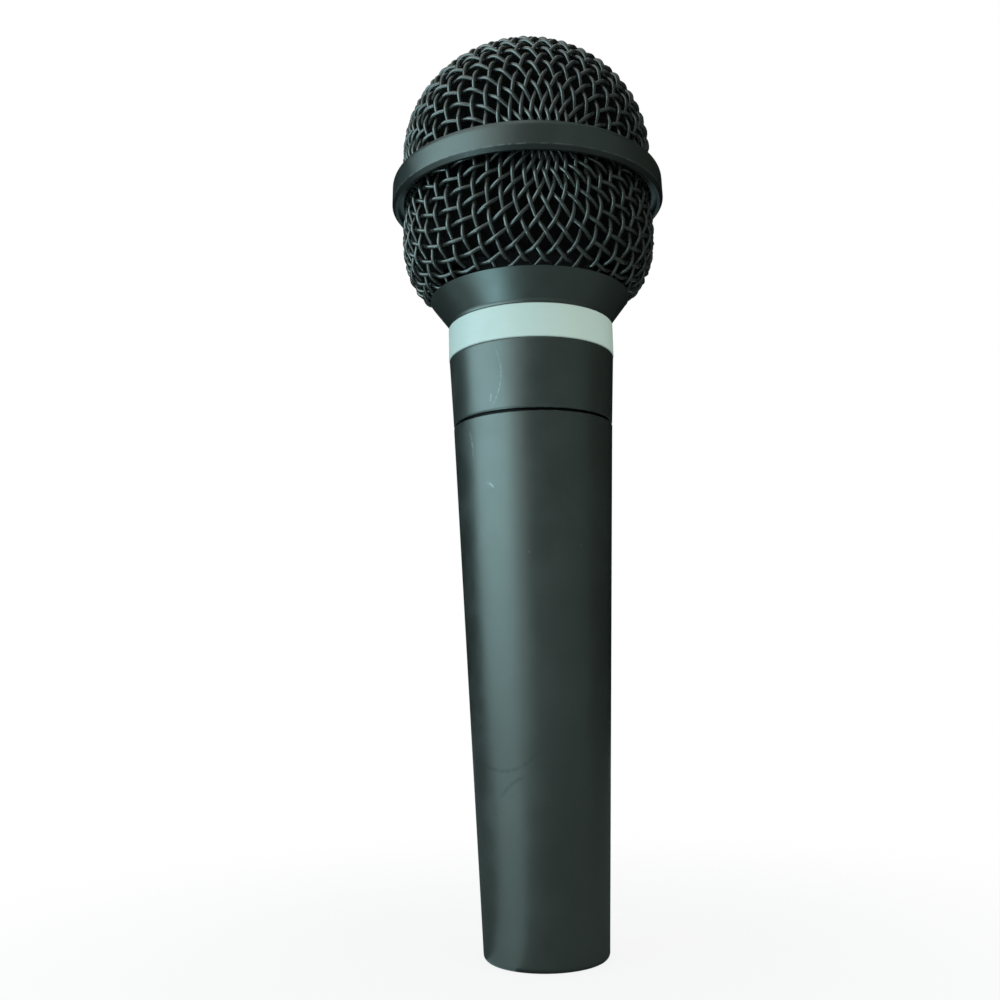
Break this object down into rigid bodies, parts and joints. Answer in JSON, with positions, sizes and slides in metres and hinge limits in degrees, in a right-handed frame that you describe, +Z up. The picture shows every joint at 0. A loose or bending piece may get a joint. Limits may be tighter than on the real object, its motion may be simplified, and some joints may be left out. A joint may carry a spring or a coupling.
{
  "type": "dynamic microphone",
  "caption": "Hand-held dynamic vocal microphone with a tapered handle, a woven ball grille with a clamping band, a pale trim ring and a three-pole male socket in the tail.",
  "frame": {"origin": "centre of the tail's flat rim, on the microphone's axis", "axes": "+Z up the axis from the tail to the grille; -Y is the front; the connector's keyway is at +Y"},
  "size_m": [0.054, 0.054, 0.1757],
  "materials": {
    "handle_paint": "satin charcoal lacquer on a die-cast tube",
    "grille_paint": "satin charcoal lacquer",
    "ring_paint": "pale silver-blue satin lacquer",
    "mesh_wire": "black lacquered woven steel wire",
    "liner_foam": "open-cell polyurethane foam, near black",
    "rubber": "matt moulded rubber",
    "capsule_plastic": "glass-filled plastic, matt",
    "cap_metal": "plain pressed aluminium",
    "cap_cloth": "fine woven acoustic cloth",
    "clamp_brass": "turned brass",
    "film": "thin polyester film",
    "coil_copper": "enamelled copper wire",
    "iron": "zinc-plated soft iron",
    "magnet": "nickel-grey sintered magnet",
    "felt": "pressed wool felt",
    "board": "phenolic board",
    "terminal": "tinned brass",
    "core_steel": "stacked nickel-iron laminations",
    "bobbin_plastic": "cream moulded nylon",
    "winding_tape": "yellow polyester tape over copper wire",
    "packing_foam": "closed-cell packing foam",
    "wire_red": "PVC insulation",
    "wire_black": "PVC insulation",
    "wire_white": "PVC insulation",
    "wire_yellow": "PVC insulation",
    "wire_green": "PVC insulation",
    "insert_plastic": "black glass-filled nylon",
    "contact_plate": "silver-plated brass",
    "spring_metal": "phosphor bronze",
    "screw_steel": "dark zinc-plated steel"
  },
  "bodies": {
    "handle": {"handle": "handle_paint", "head_sleeve": "handle_paint", "shock_mount": "rubber", "transformer_core": "core_steel", "transformer_bobbin": "bobbin_plastic", "transformer_winding": "winding_tape", "transformer_foam": "packing_foam", "capsule_lead_red": "wire_red", "capsule_lead_black": "wire_black", "output_lead_white": "wire_white", "output_lead_yellow": "wire_yellow", "ground_lead": "wire_green", "connector_insert": "insert_plastic", "contact_pin_1": "contact_plate", "contact_pin_2": "contact_plate", "contact_pin_3": "contact_plate", "ground_spring": "spring_metal", "lock_screw": "screw_steel"},
    "ring": {"trim_ring": "ring_paint"},
    "grille": {"grille_collar": "grille_paint", "grille_lower_mesh": "mesh_wire", "grille_band": "grille_paint", "grille_upper_mesh": "mesh_wire", "foam_lower": "liner_foam", "foam_upper": "liner_foam"},
    "capsule": {"capsule_frame": "capsule_plastic", "capsule_cap": "cap_metal", "cap_cloth": "cap_cloth", "clamp_ring": "clamp_brass", "pole_cap": "iron", "magnet": "magnet", "magnet_cup": "iron", "port_felt": "felt", "rear_chamber": "capsule_plastic", "terminal_board": "board", "capsule_terminals": "terminal"},
    "diaphragm": {"diaphragm": "film", "voice_coil": "coil_copper"}
  },
  "joints": [
    {"name": "grille_lift", "type": "slide", "parent": "handle", "child": "ring", "axis": [0, 0, 1], "range_m": [0, 0.00625]},
    {"name": "grille_turn", "type": "hinge", "parent": "ring", "child": "grille", "pos_m": [0, 0, 0.114], "axis": [0, 0, 1], "range_deg": [0, 1800]},
    {"name": "capsule_float", "type": "slide", "parent": "handle", "child": "capsule", "axis": [0, 0, 1], "range_m": [-0.0004, 0.0004], "stiffness_N_per_m": 1700},
    {"name": "diaphragm_travel", "type": "slide", "parent": "capsule", "child": "diaphragm", "axis": [0, 0, 1], "range_m": [-0.0003, 0.0003], "stiffness_N_per_m": 200}
  ],
  "couplings": [
    {"joint": "grille_lift", "follows": "grille_turn", "m_per_rad": 0.00019894}
  ]
}
